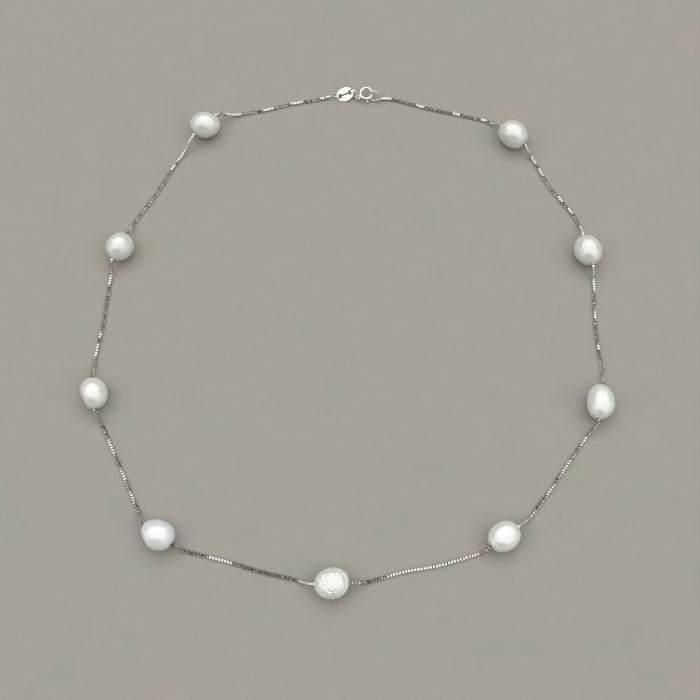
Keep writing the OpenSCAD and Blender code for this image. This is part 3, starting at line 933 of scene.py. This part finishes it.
# The room that the pearls and the silver mirror: a bright ceiling, paler walls in front and at the
# sides, a dim back wall, and a dark oval patch low in front

roomFacts = {
    "backWall": 0.13, "wall": 0.85, "ceiling": 1.48,       # brightness
    "backWallFrom": 0.3, "wallFrom": -0.1,                 # y of the directions where each wall is full
    "ceilingFrom": 26, "ceilingFull": 40,                  # degrees up
    "patch": 0.04,                                         # share of the light that the patch leaves
    "patchTurn": 10, "patchHeight": 28,                    # degrees to its middle
    "patchWide": 36, "patchHigh": 27,                      # degrees from its middle to its edge
    "patchInner": 0.92, "patchOuter": 1.04,                # its soft edge, as shares of that
    "behindFrom": -0.2, "behindTo": 0.2, "behindAway": 4.0,        # so that none shows at the back
}


def makeRoom():
    facts = roomFacts
    world = bpy.data.worlds.new("softRoom")
    bpy.context.scene.world = world
    world.use_nodes = True
    tree = world.node_tree
    tree.nodes.clear()
    smooth = {"interpolation_type": "SMOOTHSTEP"}
    place = addNode(tree, "ShaderNodeTexCoord")
    axis = addNode(tree, "ShaderNodeSeparateXYZ", links={"Vector": place.outputs["Generated"]})
    walls = addNode(tree, "ShaderNodeMapRange", smooth,
                    inputs={"From Min": facts["backWallFrom"], "From Max": facts["wallFrom"],
                            "To Min": facts["backWall"], "To Max": facts["wall"]},
                    links={"Value": axis.outputs["Y"]})
    low, high = (math.sin(math.radians(facts[k])) for k in ("ceilingFrom", "ceilingFull"))
    ceiling = addNode(tree, "ShaderNodeMapRange", smooth,
                      inputs={"From Min": low, "From Max": high, "To Max": facts["ceiling"]},
                      links={"Value": axis.outputs["Z"], "To Min": walls.outputs["Result"]})
    # the patch is an oval round its own axis, which points to the front
    turned = addNode(tree, "ShaderNodeMapping", {"vector_type": "TEXTURE"},
                     inputs={"Rotation": (-math.radians(facts["patchHeight"]), 0,
                                          -math.radians(facts["patchTurn"])),
                             "Scale": (math.sin(math.radians(facts["patchWide"])), 1,
                                       math.sin(math.radians(facts["patchHigh"])))},
                     links={"Vector": place.outputs["Generated"]})
    parts = addNode(tree, "ShaderNodeSeparateXYZ", links={"Vector": turned.outputs["Vector"]})
    behind = addNode(tree, "ShaderNodeMapRange", smooth,
                     inputs={"From Min": facts["behindFrom"], "From Max": facts["behindTo"],
                             "To Min": 0.0, "To Max": facts["behindAway"]},
                     links={"Value": parts.outputs["Y"]})
    flat = addNode(tree, "ShaderNodeCombineXYZ",
                   links={"X": parts.outputs["X"], "Y": behind.outputs["Result"],
                          "Z": parts.outputs["Z"]})
    away = addNode(tree, "ShaderNodeVectorMath", {"operation": "LENGTH"},
                   links={0: flat.outputs["Vector"]})
    keep = addNode(tree, "ShaderNodeMapRange", smooth,
                   inputs={"From Min": facts["patchInner"], "From Max": facts["patchOuter"],
                           "To Min": facts["patch"], "To Max": 1.0},
                   links={"Value": away.outputs["Value"]})
    strength = addNode(tree, "ShaderNodeMath", {"operation": "MULTIPLY"},
                       links={0: ceiling.outputs["Result"], 1: keep.outputs["Result"]})
    back = addNode(tree, "ShaderNodeBackground", inputs={"Color": hexColour("#ffffff")},
                   links={"Strength": strength.outputs["Value"]})
    addNode(tree, "ShaderNodeOutputWorld", links={"Surface": back.outputs["Background"]})


# One soft lamp from behind; place and size in metres, power in watts
lampFacts = {"place": (-0.12, 0.45, 1.1), "aim": (0, 0, 0), "size": (1.3, 1.0), "power": 1.5,
             "colour": "#ffffff"}


def makeLamp():
    facts = lampFacts
    light = bpy.data.lights.new("backLamp", "AREA")
    light.shape = "RECTANGLE"
    light.size, light.size_y = facts["size"]
    light.energy = facts["power"]
    light.color = hexColour(facts["colour"])[:3]
    lamp = bpy.data.objects.new("backLamp", light)
    lamp.location = facts["place"]
    toAim = Vector(facts["aim"]) - Vector(facts["place"])
    lamp.rotation_euler = toAim.to_track_quat("-Z", "Y").to_euler()
    bpy.context.scene.collection.objects.link(lamp)


# Camera as in the photo: it looks down at 67.5 degrees above the surface.
cameraFacts = {
    "place": (0, -112.2 * mm, 247.9 * mm),
    "tilt": 22.5,              # degrees from straight down
    "lens": 51.43,             # mm
    "sensor": 36,              # mm
    "nearest": 0.01,           # m
}


def makeCamera():
    data = bpy.data.cameras.new("photoCamera")
    data.lens = cameraFacts["lens"]
    data.sensor_width = cameraFacts["sensor"]
    data.clip_start = cameraFacts["nearest"]
    camera = bpy.data.objects.new("photoCamera", data)
    camera.location = cameraFacts["place"]
    camera.rotation_euler = Euler((math.radians(cameraFacts["tilt"]), 0, 0))
    bpy.context.scene.collection.objects.link(camera)
    bpy.context.scene.camera = camera


makeSheet()
makeRoom()
makeLamp()
makeCamera()
bpy.context.scene.view_settings.view_transform = "Standard"
print("stage ready")
